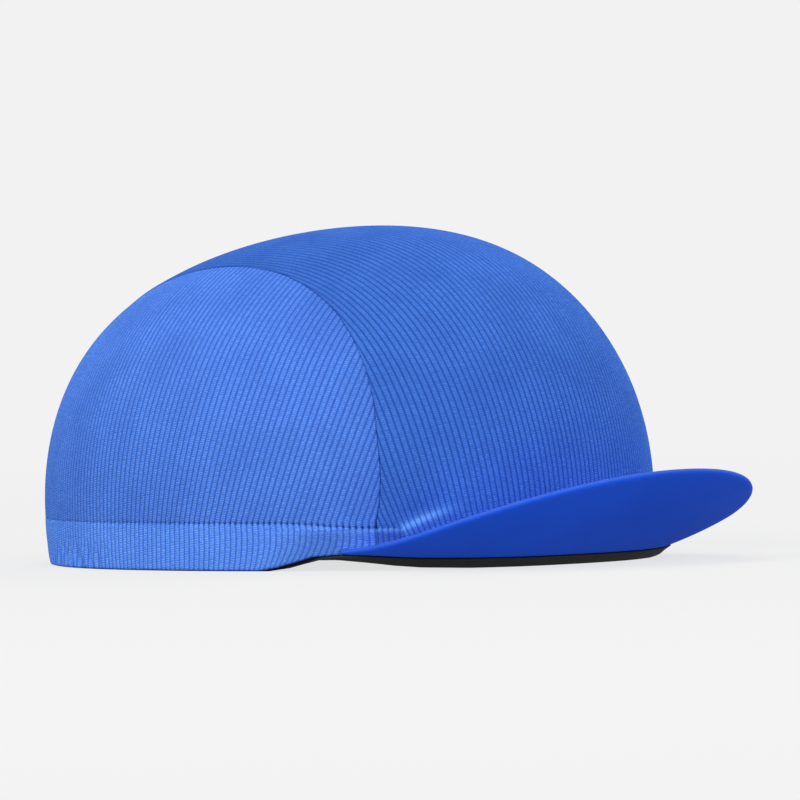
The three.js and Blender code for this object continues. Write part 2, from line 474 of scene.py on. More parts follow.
# Ribs of knitted loops from the UV map: u counts the ribs, v is in millimetres
def buildRibLoops():
    bench, start, end = newGroup("ribLoops", {"Jitter": 0.0}, ("Groove", "Loops"))
    place = bench.split(start.outputs["Place"])
    phase = bench.math("FRACT", place["X"])
    fromMiddle = bench.math("ABSOLUTE", bench.math("SUBTRACT", phase, 0.5))
    toGroove = bench.math("SUBTRACT", 0.5, fromMiddle)
    groove = bench.ramp(toGroove, 0.0, loopShape["grooveWidth"], 1.0, 0.0)
    slant = bench.math("MULTIPLY_ADD", fromMiddle, loopShape["slant"], start.outputs["Jitter"])
    stagger = bench.math("MULTIPLY", bench.math("FLOOR", place["X"]), loopShape["stagger"])
    along = bench.math("DIVIDE", place["Y"], loopShape["length"])
    along = bench.math("SUBTRACT", along, bench.math("ADD", slant, stagger))
    wave = bench.math("SINE", bench.math("MULTIPLY", along, math.tau))
    bead = bench.math("MULTIPLY_ADD", wave, 0.5, 0.5)
    cleft = bench.ramp(fromMiddle, 0.0, loopShape["cleftWidth"], loopShape["cleftDipAndShade"], 1.0)
    ridge = bench.math("SUBTRACT", 1.0, groove)
    loops = bench.math("MULTIPLY", bench.math("MULTIPLY", bead, cleft), ridge)
    bench.feed(end, {"Groove": groove, "Loops": loops})
    return bench.tree


# Fine fibres and a soft unevenness of tone, on object coordinates
def buildClothGrain():
    scales = {"Fibre Scale": 1500.0, "Tone Scale": 60.0}
    bench, start, end = newGroup("clothGrain", scales, ("Fibre", "Tone"))
    for label, detail in (("Fibre", 2.0), ("Tone", 3.0)):
        sources = {"Vector": start.outputs["Place"], "Scale": start.outputs[label + " Scale"]}
        noise = bench.feed(bench.add("ShaderNodeTexNoise"), {**sources, "Detail": detail})
        bench.link(noise.outputs["Fac"], end.inputs[label])
    return bench.tree


# Plain weave from a UV map in millimetres
def buildPlainWeave():
    bench, start, end = newGroup("plainWeave", {"Thread": 0.35}, ("Height",))
    place = bench.split(start.outputs["Place"])
    waves = []
    for axis in ("X", "Y"):
        along = bench.math("DIVIDE", place[axis], start.outputs["Thread"])
        waves.append(bench.math("SINE", bench.math("MULTIPLY", along, math.pi)))
    crossing = bench.math("MULTIPLY", waves[0], waves[1])
    bench.link(bench.math("MULTIPLY_ADD", crossing, 0.5, 0.5), end.inputs["Height"])
    return bench.tree


ribLoops = buildRibLoops()
clothGrain = buildClothGrain()
plainWeave = buildPlainWeave()


def newMaterial(name):
    material = bpy.data.materials.new(name)
    material.use_nodes = True
    material.node_tree.nodes.clear()
    bench = NodeBench(material.node_tree)
    shader = bench.add("ShaderNodeBsdfPrincipled")
    output = bench.add("ShaderNodeOutputMaterial")
    bench.link(shader.outputs[0], output.inputs[0])
    return material, bench, shader


def finishCloth(bench, shader, look, colour, rough, height):
    depths = {"Strength": look["bumpStrength"], "Distance": look["bumpDepth"]}
    bump = bench.feed(bench.add("ShaderNodeBump"), {"Height": height, **depths})
    surface = {"Base Color": colour, "Roughness": rough, "Normal": bump.outputs[0]}
    bench.feed(shader, {**surface, "Specular IOR Level": look["gloss"]})


ribKnit = {
    "ridge": (0.075, 0.211, 0.735),
    # painted shade in the grooves between the ribs, also the darker side of the random patches and
    # fibres
    "groove": (0.028, 0.090, 0.42),
    # painted highlight on the knitted loops
    "paintedLoopHighlight": (0.134, 0.335, 0.94),
    # painted shade by the seam, at the stitches, under the hem's fold and at its bottom edge
    "hollow": (0.012, 0.04, 0.24, 1),
    # painted highlight along the wrinkle in front of the seam
    "pale": (0.15, 0.38, 0.95, 1),
    # one cloth's tone per piece: the centre panel's darker tone is painted shade, the hem's lighter one
    # is painted light together with its thicker, less stretched cloth
    "sideTone": (0.99, 0.97, 1.0),
    "centrePaintedShade": (0.57, 0.68, 0.77),
    "hemToneAndPaintedLight": (1.38, 1.31, 1.34),
    "brightest": 0.97,
    "jitter": 0.2,
    "patchShare": 0.2,
    "fibreShare": 0.36,
    "grooveShade": 0.72,
    "roughness": 0.85,
    "gapRoughness": 0.95,
    "gloss": 0.05,
    "fibreHeight": 0.35,
    "bumpStrength": 0.5,
    "bumpDepth": 0.00035,
}


# The cloth's three colours at one tone: its ridges, the painted shade in its grooves and the
# painted highlight on its loops
def knitColours(tone):
    colours = []
    for name in ("ridge", "groove", "paintedLoopHighlight"):
        toned = [part * share for part, share in zip(ribKnit[name], tone)]
        colours.append(tuple(min(part, ribKnit["brightest"]) for part in toned) + (1,))
    return colours


# Painted shading above zero mixes in the hollow colour, a painted shade, and below zero the
# pale one, a painted highlight
def makeRibKnit(name, tone):
    ridge, deep, light = knitColours(tone)
    material, bench, shader = newMaterial(name)
    grain = bench.group(clothGrain, {"Place": bench.objectPlace()})
    jitter = bench.spread(grain["Fibre"], -ribKnit["jitter"], ribKnit["jitter"])
    ribs = bench.group(ribLoops, {"Place": bench.ribMap(), "Jitter": jitter})
    paintedShading = bench.paintedShading()
    # the loops get a painted highlight
    colour = bench.mix(ribs["Loops"], ridge, light)
    colour = bench.mix(bench.spread(grain["Tone"], 0.0, ribKnit["patchShare"]), colour, deep)
    colour = bench.mix(bench.spread(grain["Fibre"], 0.0, ribKnit["fibreShare"]), colour, deep)
    # painted highlight where the shading is below zero
    colour = bench.mix(bench.math("MULTIPLY", paintedShading, -1.0), colour, ribKnit["pale"])
    # painted shade in the grooves between the ribs
    shade = bench.math("MULTIPLY", ribs["Groove"], ribKnit["grooveShade"])
    colour = bench.mix(shade, colour, deep)
    # painted shade where the shading is above zero
    colour = bench.mix(paintedShading, colour, ribKnit["hollow"])
    rough = bench.ramp(ribs["Loops"], 0.0, 1.0, ribKnit["gapRoughness"], ribKnit["roughness"])
    height = bench.math("MULTIPLY_ADD", grain["Fibre"], ribKnit["fibreHeight"], ribs["Loops"])
    finishCloth(bench, shader, ribKnit, colour, rough, height)
    return material


smoothCloth = {
    "face": (0.011, 0.106, 0.85, 1),
    "deep": (0.008, 0.09, 0.76, 1),
    # the same cloth on the rounded edge, painted darker and greyer against the light it catches from
    # above
    "edge": (0.042, 0.104, 0.52, 1),
    "edgeStart": 0.955,
    "edgeEnd": 0.985,
    "fibreScale": 2600.0,
    "toneScale": 30.0,
    "fibreShare": 0.15,
    "roughness": 0.75,
    "gapRoughness": 0.83,
    "gloss": 0.12,
    "fibreHeight": 0.5,
    "bumpStrength": 0.25,
    "bumpDepth": 0.0001,
}


# The peak's painted shading is the share of its rounded edge, which takes the edge colour: the
# same cloth painted darker and greyer to hold down the light the edge catches from above
def makePeakCloth():
    material, bench, shader = newMaterial("smoothPeakCloth")
    weave = bench.group(plainWeave, {"Place": bench.ribMap()})["Height"]
    scales = {"Fibre Scale": smoothCloth["fibreScale"], "Tone Scale": smoothCloth["toneScale"]}
    grain = bench.group(clothGrain, {"Place": bench.objectPlace(), **scales})
    colour = bench.mix(bench.spread(grain["Tone"]), smoothCloth["face"], smoothCloth["deep"])
    rim = bench.ramp(bench.paintedShading(), smoothCloth["edgeStart"], smoothCloth["edgeEnd"])
    colour = bench.mix(rim, colour, smoothCloth["edge"])
    fibre = bench.spread(grain["Fibre"], 0.0, smoothCloth["fibreShare"])
    colour = bench.mix(fibre, colour, smoothCloth["deep"])
    rough = bench.ramp(weave, 0.0, 1.0, smoothCloth["gapRoughness"], smoothCloth["roughness"])
    height = bench.math("MULTIPLY_ADD", grain["Fibre"], smoothCloth["fibreHeight"], weave)
    finishCloth(bench, shader, smoothCloth, colour, rough, height)
    return material


blackTape = {
    "thread": (0.019, 0.019, 0.020, 1),
    "gap": (0.006, 0.006, 0.007, 1),
    "threadWidth": 0.5,
    "fibreScale": 3500.0,
    "fibreMargin": 0.35,
    "fibreShare": 0.3,
    "roughness": 0.85,
    "gapRoughness": 0.95,
    "gloss": 0.5,
    "bumpStrength": 0.5,
    "bumpDepth": 0.00015,
}


def makeBandCloth():
    material, bench, shader = newMaterial("blackTape")
    threads = {"Place": bench.ribMap(), "Thread": blackTape["threadWidth"]}
    weave = bench.group(plainWeave, threads)["Height"]
    fibres = {"Place": bench.objectPlace(), "Fibre Scale": blackTape["fibreScale"]}
    fibre = bench.group(clothGrain, fibres)["Fibre"]
    fibre = bench.spread(fibre, 0.0, blackTape["fibreShare"], blackTape["fibreMargin"])
    colour = bench.mix(weave, blackTape["gap"], blackTape["thread"])
    colour = bench.mix(fibre, colour, blackTape["gap"])
    rough = bench.ramp(weave, 0.0, 1.0, blackTape["gapRoughness"], blackTape["roughness"])
    finishCloth(bench, shader, blackTape, colour, rough, weave)
    return material


# one rib knit, with painted shade on the centre panel and painted light on the hem
sideKnit = makeRibKnit("sideRibKnit", ribKnit["sideTone"])
centreKnit = makeRibKnit("centreRibKnit", ribKnit["centrePaintedShade"])
hemKnit = makeRibKnit("hemRibKnit", ribKnit["hemToneAndPaintedLight"])
peakMaterial = makePeakCloth()
bandMaterial = makeBandCloth()
print("made the materials")

# Seam between the centre panel and a side panel: its distance from the middle, which strays
# a little by height in front of the ears
seam = {
    "halfWidth": 41.4,
    "spread": 0.115,
    "curve": 0.00046,
    "strayStart": -20.0,
    "strayFull": 30.0,
    "flattest": 0.09,
    "frontCorner": 60.0,
    "backCorner": 180.0,
}
seamTable = tableOf(
    "height stray sideRoll centreRoll centreProud",
    (14, 2.1, 0.6, 0.9, -0.1),
    (20, 1.2, 0.6, 0.9, -0.1),
    (28, 0.6, 0.6, 0.8, 0.0),
    (40, 0.2, 0.55, 0.7, 0.05),
    (50, -0.8, 0.45, 0.6, 0.15),
    (60, -1.2, 0.4, 0.5, 0.25),
    (74, -1.3, 0.4, 0.5, 0.3),
    (84, -0.6, 0.4, 0.5, 0.3),
)


def seamDistance(front, height):
    stray = readTable(seamTable, "stray", height, "height")
    curve = seam["halfWidth"] + seam["spread"] * front + seam["curve"] * front**2
    return curve + stray * smoothStep(front, seam["strayStart"], seam["strayFull"])


halvings = 34


# Halves a bracket until it holds the place where isInside ends
def findEnd(isInside, low, high):
    low, high = np.array(low, float), np.array(high, float)
    for turn in range(halvings):
        middle = (low + high) / 2
        inside = isInside(middle)
        low = np.where(inside, middle, low)
        high = np.where(inside, high, middle)
    return (low + high) / 2


def seamCorner(sign):
    height = stitchHeight(seam["frontCorner"] if sign > 0 else seam["backCorner"])

    def isBesideSeam(front):
        return sideAt(sign * front, height) > seamDistance(sign * front, height)

    return float(sign * findEnd(isBesideSeam, 0, head["halfLength"]))


# Rib lines on a panel's level section: even steps along it
def evenSteps(sides, fronts, pitch):
    arcs = np.concatenate([[0], np.cumsum(np.hypot(np.diff(sides), np.diff(fronts)))])
    ribs = round(arcs[-1] / pitch)
    shares = np.linspace(0, 1, ribs * knit["columnsPerRib"] + 1)
    return arcs, shares * arcs[-1], shares * ribs


# Side panels, whose ribs lean forward from the stitch line up to the leanTop height, the most
# at leanMost and not at all leanHalf away from it
sidePanel = {
    "ribPitch": 1.91,
    "rows": 76,
    "referenceHeight": 14.0,
    "cornerInset": 0.15,
    "leanFoot": 14.0,
    "leanTop": 58.0,
    "leanReach": 8.0,
    "leanMost": 50.0,
    "leanHalf": 70.0,
    "seamShade": 0.16,
    "seamShadeReach": 12.0,
    "seamShadeStart": 0.0,
    "seamShadeFull": 40.0,
    "climbEnd": 1.5,
    "shortest": 0.02,
    "sampleCount": 2000,
}


def leanFront(reference, height):
    climb = sidePanel["leanTop"] - sidePanel["leanFoot"]
    left = np.clip((sidePanel["leanTop"] - height) / climb, 0, 1)
    away = np.clip(np.abs(reference - sidePanel["leanMost"]) / sidePanel["leanHalf"], 0, 1)
    return reference + sidePanel["leanReach"] * (1 - left**2) * np.cos(np.pi / 2 * away)


def sideRibs():
    fronts = np.linspace(
        seamCorner(-1) + sidePanel["cornerInset"],
        seamCorner(1) - sidePanel["cornerInset"],
        sidePanel["sampleCount"],
    )
    sides = sideAt(fronts, sidePanel["referenceHeight"])
    arcs, steps, ribs = evenSteps(sides, fronts, sidePanel["ribPitch"])
    return np.interp(steps, arcs, fronts), ribs


# Wall height at a climb in radians: below zero it counts millimetres straight down
climbStep = 90.0


def climbHeight(climb):
    dome = head["fullest"] + (head["height"] - head["fullest"]) * np.sin(np.clip(climb, 0, math.pi / 2))
    return np.where(climb < 0, head["fullest"] + climb * climbStep, dome)


def sideFace(fronts):
    level = sidePanel["referenceHeight"]
    footAngle = angleAt(sideAt(fronts, level), fronts, level)
    foot = (panelFoot(footAngle) - head["fullest"]) / climbStep

    def isBelowSeam(climb):
        height = climbHeight(climb)
        front = leanFront(fronts, height)
        return sideAt(front, height) > seamDistance(front, height)

    top = findEnd(isBelowSeam, foot, foot * 0 + sidePanel["climbEnd"])
    top = np.maximum(top, foot + sidePanel["shortest"] / climbStep)
    shares = rowShares((top - foot) * climbStep, sidePanel["rows"])
    climb = foot[:, None] + (top - foot)[:, None] * shares
    height = climbHeight(climb)
    front = leanFront(fronts[:, None], height)
    return np.stack([sideAt(front, height), front, height], -1)


def seamGap(points, outward, sign):
    gap = sign * (np.abs(points[..., 0]) - seamDistance(points[..., 1], points[..., 2]))
    return gap / np.sqrt(np.maximum(1 - outward[..., 0] ** 2, seam["flattest"]))


def readSeam(column, points):
    return readTable(seamTable, column, points[..., 2], "height")


def makeSidePanel(name, node, sign):
    fronts, ribs = sideRibs()
    base = sideFace(fronts)
    outward = outwardAt(base)
    along = alongRows(base)
    across = ribs[:, None] + 0 * along
    toSeam = seamGap(base, outward, 1)
    relief = knit["ribDepth"] * (ribShape(across) - 1)
    relief = relief - edgeRoll(toSeam, readSeam("sideRoll", base))
    relief = relief - edgeRoll(along, knit["footRoll"]) - stitchPit(across, along)
    mirror = np.array([sign, 1, 1])
    faces = [base + outward * relief[..., None], innerFace(base, outward, across)]
    faces = [face * mirror for face in faces]
    paintedShading = sidePanel["seamShade"] * np.exp(-np.maximum(toSeam, 0) / sidePanel["seamShadeReach"])
    start, full = sidePanel["seamShadeStart"], sidePanel["seamShadeFull"]
    paintedShading = paintedShading * smoothStep(base[..., 1], start, full)
    paintedShading = paintedShading + knit["stitchShade"] * stitches(across, along)
    along = along + base[:, :1, 2]
    wear(layCloth(name, faces, across, along, paintedShading), node, sideKnit)


makeSidePanel("side_panel_left_knit", "side_panel_left", 1)
makeSidePanel("side_panel_right_knit", "side_panel_right", -1)

# Centre panel, whose ribs run from the forehead over the top to the nape
centrePanel = {
    "ribPitch": 1.65,
    "rows": 112,
    "fineRows": 18,
    "fineReach": 16.0,
    "referenceHeight": 20.0,
    "footHeight": 12.0,
    "rayFront": 3.0,
    "stationStep": 1.6,
    "drift": 7.8,
    "driftReach": 45.0,
    "driftMost": 75.0,
    "driftEnd": 150.0,
    "lean": 6.5,
    "leanSides": [10.0, -46.0],
    "leanStart": -6.0,
    "leanStations": 32.0,
    "seamProudReach": 2.5,
    "cornerInset": 0.1,
    "footAngleHeight": 8.0,
    "rayReach": 140.0,
    "shortest": 0.02,
    "napeStart": 60.0,
    "napeFull": 70.0,
    "sampleCount": 2000,
}

# The wrinkle that the hem's fold runs out into in front of the seam
wrinkleTable = tableOf(
    "angle height proud",
    (24, 17.6, 0.0),
    (27, 17.2, 0.3),
    (29.2, 16.5, 0.9),
    (31.6, 15.5, 1.4),
    (34.2, 14.1, 1.7),
    (35.6, 13.2, 1.6),
    (37.3, 12.1, 1.45),
    (38, 12.0, 0.5),
    (39, 12.0, -0.2),
    (42, 12.0, -0.2),
    (60, 12.0, 0.0),
)
# pale, paleFlat and paleTail shape the wrinkle's painted highlight
wrinkle = {
    "above": 0.95,
    "plainBelow": 1.2,
    "below": 3.2,
    "belowShare": 0.3,
    "pale": 0.5,
    "paleFlat": 0.5,
    "paleTail": 0.35,
    "dentShare": 0.25,
    "dentOffset": 3.4,
    "dentWidth": 2.0,
}


# The panel's ribs drift over to the wearer's right on top, and those by the right seam lean
# towards it soon after they leave the peak
def ribDrift(side0, station):
    most = centrePanel["driftMost"]
    back = 1 - smoothStep(station, most, centrePanel["driftEnd"])
    hold = np.maximum(1 - (side0 / centrePanel["driftReach"]) ** 2, 0)
    drift = centrePanel["drift"] * hold * smoothStep(station, 0, most)
    climb = np.maximum((station - centrePanel["leanStart"]) / centrePanel["leanStations"], 0)
    start, full = centrePanel["leanSides"]
    share = np.clip((side0 - start) / (full - start), 0, 1)
    return (drift + centrePanel["lean"] * share * climb * np.exp(1 - climb)) * back


def centreStation(side0, station):
    side = side0 - ribDrift(side0, station)
    step = centrePanel["stationStep"]
    wallHeight = head["fullest"] + np.where(station < 0, station, 180 - station) * step
    turn = np.radians(np.clip(station, 0, 180))

    def isInside(reach):
        front = centrePanel["rayFront"] + reach * np.cos(turn)
        return outsideBy(side, front, head["fullest"] + reach * np.sin(turn)) < 0

    reach = findEnd(isInside, 0 * side, 0 * side + centrePanel["rayReach"])
    isWall = (station < 0) | (station > 180)
    sign = np.where(station < 90, 1, -1)
    wallFront = frontAt(side, wallHeight, sign)
    front = np.where(isWall, wallFront, centrePanel["rayFront"] + reach * np.cos(turn))
    height = np.where(isWall, wallHeight, head["fullest"] + reach * np.sin(turn))
    return np.stack([side, front, height], -1)


def centreRibs():
    foot = centrePanel["footHeight"]
    widest = findEnd(lambda n: n < seamDistance(frontAt(n, foot, 1), foot), 0, head["halfWidth"])
    widest = widest - centrePanel["cornerInset"]
    sides = np.linspace(-widest, widest, centrePanel["sampleCount"])
    fronts = frontAt(sides, centrePanel["referenceHeight"], 1)
    arcs, steps, ribs = evenSteps(sides, fronts, centrePanel["ribPitch"])
    return np.interp(steps, arcs, sides), ribs


def centreFace(sides):
    step = centrePanel["stationStep"]
    level = centrePanel["footAngleHeight"]
    footAngle = angleAt(sides, frontAt(sides, level, 1), level)
    foot = (panelFoot(footAngle) - head["fullest"]) / step
    napeHeight = stitchHeight(seam["backCorner"]) + knit["hemGap"]
    napeFoot = 180 + (head["fullest"] - napeHeight) / step

    def isInPanel(station):
        points = centreStation(sides, station)
        return np.abs(points[..., 0]) < seamDistance(points[..., 1], points[..., 2])

    end = findEnd(isInPanel, foot, 0 * foot + napeFoot)
    end = np.maximum(end, foot + centrePanel["shortest"])
    fineRows, fineReach = centrePanel["fineRows"], centrePanel["fineReach"]
    shares = rowShares((end - foot) * step, centrePanel["rows"], fineRows, fineReach)
    station = foot[:, None] + (end - foot)[:, None] * shares
    return centreStation(sides[:, None] + 0 * station, station)


# Height above the wrinkle's line, and how proud the wrinkle stands there
def wrinklePlace(points):
    side, front, height = np.moveaxis(points, -1, 0)
    angle = angleAt(side, front, np.minimum(height, head["fullest"]))
    proud = readTable(wrinkleTable, "proud", angle) * (front > 0)
    return height - readTable(wrinkleTable, "height", angle), proud


def wrinkleCrest(above, below):
    return np.where(above > 0, np.exp(-((above / wrinkle["above"]) ** 2)), below)


def wrinkleRelief(points):
    above, proud = wrinklePlace(points)
    slope = smoothStep(-above, wrinkle["plainBelow"], wrinkle["plainBelow"] + wrinkle["below"])
    ridge = wrinkleCrest(above, 1 - (1 - wrinkle["belowShare"]) * slope)
    dent = np.exp(-(((above - wrinkle["dentOffset"]) / wrinkle["dentWidth"]) ** 2))
    return proud * (ridge - wrinkle["dentShare"] * dent)


# The wrinkle's crest and the cloth just below it get a painted highlight, which painted
# shading below zero stands for
def wrinklePaintedLight(points):
    above, proud = wrinklePlace(points)
    flat = wrinkle["paleFlat"]
    fade = smoothStep(-above, flat, wrinkle["plainBelow"] + flat)
    pale = wrinkleCrest(above, 1 - (1 - wrinkle["paleTail"]) * fade)
    return -wrinkle["pale"] * np.maximum(proud, 0) * pale


def makeCentrePanel():
    sides, ribs = centreRibs()
    base = centreFace(sides)
    outward = outwardAt(base)
    along = alongRows(base)
    across = ribs[:, None] + 0 * along
    toEnd = along[:, -1:] - along
    toSeam = seamGap(base, outward, -1)
    relief = knit["ribDepth"] * (ribShape(across) - 1)
    relief = relief + readSeam("centreProud", base) * np.exp(-toSeam / centrePanel["seamProudReach"])
    relief = relief - edgeRoll(toSeam, readSeam("centreRoll", base)) + wrinkleRelief(base)
    atNape = smoothStep(-base[..., 1], centrePanel["napeStart"], centrePanel["napeFull"])
    atNape = atNape * (base[..., 2] < head["fullest"])
    relief = relief - (edgeRoll(toEnd, knit["footRoll"]) + stitchPit(across, toEnd)) * atNape
    faces = [base + outward * relief[..., None], innerFace(base, outward, across)]
    along = along + base[:, :1, 2]
    piece = layCloth("centre_panel_knit", faces, across, along, wrinklePaintedLight(base))
    wear(piece, "centre_panel", centreKnit)


makeCentrePanel()

# Hem: a turned band whose ribs go on from the panels' above it
hem = {
    "referenceHeight": 12.5,
    "stripGap": 0.05,
    "bottomRows": [0, 0.12, 0.3, 0.6, 1.0, 1.7],
    "bodyRows": 7,
    "foldRows": [-1.0, -0.6, -0.3, -0.1, 0.0, 0.07],
    "topRows": [0.8, 0.45, 0.2, 0.0],
    "topClear": 0.12,
    "topSqueeze": 0.1,
    "bulge": 0.15,
    "bulgePower": 0.7,
    "flush": 0.05,
    "rimRadius": 0.4,
    "foldRadius": 0.7,
    "foldSlack": 0.01,
    "recess": 0.3,
    "fullProud": 1.4,
    "hollowReach": 4.0,
    "shadeStart": -0.5,
    "shadeFull": 0.1,
    "frontShade": 0.26,
    "frontShadeStart": 0.2,
    "frontShadeFull": 1.4,
    "edgeShade": 0.5,
    "edgeShadeReach": 0.8,
    "seamPit": 0.55,
    "seamPitReach": 0.45,
    "innerReach": -1.6,
    "thinnest": 0.3,
    "sweepPower": 1.6,
    "sweepSag": 0.35,
    "gatherPitch": 5.2,
    "gatherTop": 9.0,
    "gatherFull": 0.7,
    "gatherSway": 1.3,
    "gatherSwayPace": 0.31,
    "gatherSlant": 0.4,
}

# How far the hem's ribs sweep towards the nape as they go down
sweepTable = tableOf(
    "angle sweep", (41, 0.8), (52, 2.2), (60, 3.2), (68, 1.6), (80, 0.5), (95, 0.0)
)
gatherTable = tableOf(
    "angle depth",
    (98, 0.0),
    (106, 0.65),
    (116, 0.7),
    (124, 0.3),
    (130, 0.15),
    (165, 0.35),
)


def turnOf(sides, fronts, height):
    return np.radians(angleAt(sides, fronts, height))


# Turns of the hem's columns from the left temple round the nape, with their rib numbers
def hemColumns():
    height = hem["referenceHeight"]
    fronts, sideNumbers = sideRibs()
    sideTurns = turnOf(sideAt(fronts, height), fronts, height)[::-1]
    sideNumbers = sideNumbers[::-1]
    sides, centreNumbers = centreRibs()
    isBehind = np.abs(sides) < seamDistance(seamCorner(-1), stitchHeight(seam["backCorner"]))
    behind = turnOf(sides[isBehind], frontAt(sides[isBehind], height, -1), height)
    behindTurns = np.where(sides[isBehind] > 0, behind, math.tau - behind)[::-1]
    behindNumbers = centreNumbers[isBehind][::-1]
    frontTurns = turnOf(sides, frontAt(sides, height, 1), height)
    isAhead = (frontTurns >= math.radians(hemTable[0]["angle"])) & (sides > 0)
    aheadTurns, aheadNumbers = frontTurns[isAhead], centreNumbers[isAhead]
    turns = [aheadTurns, sideTurns, behindTurns]
    turns += [math.tau - sideTurns[::-1], math.tau - aheadTurns[::-1]]
    numbers = [aheadNumbers, sideNumbers, behindNumbers, sideNumbers[::-1], aheadNumbers[::-1]]
    return np.concatenate(turns)[:, None], np.concatenate(numbers)[:, None]


# Heights of the hem's rows, closer together at its edges and at the fold
def hemRows(bottom, fold, top):
    rows = [bottom + offset for offset in hem["bottomRows"]]
    start, end = rows[-1], fold + hem["foldRows"][0]
    for step in range(1, hem["bodyRows"] + 1):
        rows.append(start + (end - start) * step / (hem["bodyRows"] + 1))
    rows += [fold + offset for offset in hem["foldRows"]]
    topRows = []
    for offset in hem["topRows"]:
        lowest = fold + hem["topClear"] - hem["topSqueeze"] * offset
        topRows.append(np.maximum(top - offset, lowest))
    rows.append((rows[-1] + topRows[0]) / 2)
    return np.maximum.accumulate(np.concatenate(rows + topRows, axis=1), axis=1)


def foldedAngle(turn):
    return np.degrees(np.abs(np.arctan2(np.sin(turn), np.cos(turn))))


# The elastic's gathers, which sway and slant, and fade out below the stitch line
def gatherRelief(arcs, heights, angles):
    phase = arcs / hem["gatherPitch"] * math.tau
    sway = hem["gatherSway"] * np.sin(phase * hem["gatherSwayPace"])
    wave = np.sin(phase + sway + hem["gatherSlant"] * heights)
    hold = smoothStep(hem["gatherTop"] - heights, 0, hem["gatherTop"] * hem["gatherFull"])
    return readTable(gatherTable, "depth", angles) * wave * hold


def makeHem():
    turns, ribs = hemColumns()
    angles = foldedAngle(turns)
    bottom, top = stripTop(angles) + hem["stripGap"], stitchHeight(angles)
    fold, proud = readTable(hemTable, "fold", angles), readTable(hemTable, "proud", angles)
    heights = hemRows(bottom, fold, top)
    share = np.clip((heights - bottom) / (top - bottom), 0, 1)
    most = readTable(sweepTable, "sweep", angles)
    sweep = most * (1 - share) ** hem["sweepPower"] - hem["sweepSag"] * most * np.sin(np.pi * share)
    towardsBack = np.where(turns < math.pi, 1, -1)
    radius = (head["halfLength"] + head["halfWidth"]) / 2
    base = pointAt(turns + towardsBack * sweep / radius, heights)
    outward = levelOutwardAt(base)
    across = ribs + 0 * heights
    fromBottom, toTop, underFold = heights - bottom, top - heights, fold - heights
    reach = hem["flush"] + hem["bulge"] * np.sin(np.pi * share) ** hem["bulgePower"]
    foldShare = np.clip(underFold / hem["foldRadius"], 0, 1)
    foldRise = np.sqrt(np.maximum(1 - (1 - foldShare) ** 2, 0)) * (underFold > -hem["foldSlack"])
    recess = hem["recess"] * np.minimum(proud / hem["fullProud"], 1)
    reach = reach + proud * foldRise - recess * (1 - foldRise)
    underShare = smoothStep(underFold, hem["foldRadius"], hem["hollowReach"])
    reach = reach - readTable(hemTable, "hollow", angles) * underShare
    rimShare = 1 - np.clip(fromBottom / hem["rimRadius"], 0, 1)
    reach = reach - hem["rimRadius"] * (1 - np.sqrt(np.maximum(1 - rimShare**2, 0)))
    reach = reach + gatherRelief(turns * radius, heights, angles)
    reach = reach + knit["ribDepth"] * (ribShape(across) - 1) - stitchPit(across, toTop)
    corner, cornerHeight = seamCorner(1), stitchHeight(seam["frontCorner"])
    seamAngle = angleAt(sideAt(corner, cornerHeight), corner, cornerHeight)
    toSeam = np.radians(angles - seamAngle) * radius
    reach = reach - hem["seamPit"] * np.exp(-((toSeam / hem["seamPitReach"]) ** 2))
    innerReach = np.minimum(hem["innerReach"], reach - hem["thinnest"])
    faces = [base + outward * out[..., None] for out in (reach, innerReach)]
    shade = readTable(hemTable, "shade", angles)
    shade = shade * smoothStep(underFold, hem["shadeStart"], hem["shadeFull"])
    ahead = smoothStep(underFold, hem["frontShadeStart"], hem["frontShadeFull"])
    shade = shade + hem["frontShade"] * ahead * (angles < seamAngle)
    shade = shade + hem["edgeShade"] * (1 - smoothStep(fromBottom, 0, hem["edgeShadeReach"]))
    shade = shade + knit["stitchShade"] * stitches(across, toTop)
    piece = layCloth("hem_knit", faces, across, alongRows(base), shade)
    wear(piece, "hem_band", hemKnit)


makeHem()

# Peak: smooth cloth over a stiffener, turned up, with a rounded edge
peak = {
    "endAngle": 51.5,
    "endShare": 0.97,
    "depth": 47.7,
    "rootReach": 0.7,
    "rootLift": 0.3,
    "rootBulge": 4.3,
    "rootPower": 6,
    "inner": 2.05,
    "outer": 1.86,
    "slopeMiddle": 24.9,
    "slopeEnd": 11.8,
    "slopeCurl": 4.5,
    "thickness": 1.8,
    "edgeThickness": 0.35,
    "edgeReach": 1.5,
    "fullDepth": 12.0,
    "columns": 120,
    "rootRows": 3,
    "rows": 26,
    "edgeRows": [3.0, 2.0, 1.3, 0.8, 0.45, 0.2, 0.05, 0.0],
}


